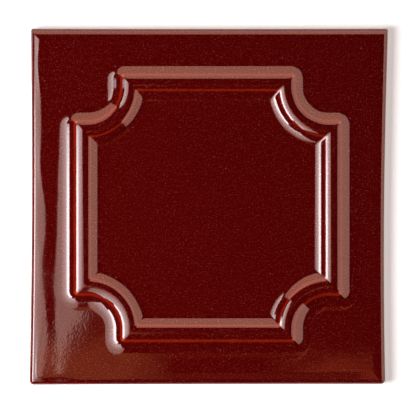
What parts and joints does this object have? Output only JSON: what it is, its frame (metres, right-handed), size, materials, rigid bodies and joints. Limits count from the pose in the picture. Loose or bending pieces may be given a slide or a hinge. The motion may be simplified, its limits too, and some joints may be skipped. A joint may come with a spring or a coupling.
{
  "type": "ceramic relief accent tile",
  "caption": "Square glazed ceramic accent tile with a plain field, a raised frame moulding with scalloped corners and a flat centre panel.",
  "frame": {"origin": "middle of the tile's box at its flat back, which lies on the floor", "axes": "+Z out of the glazed face, through the tile's thickness; +X and +Y along the tile's sides"},
  "size_m": [0.1536, 0.1526, 0.0134],
  "materials": {
    "oxblood_glaze": "deep oxblood red gloss glaze, thinner and more orange on the steep edges, over a fired clay body"
  },
  "bodies": {
    "root": {"accent_tile": "oxblood_glaze"}
  },
  "joints": []
}
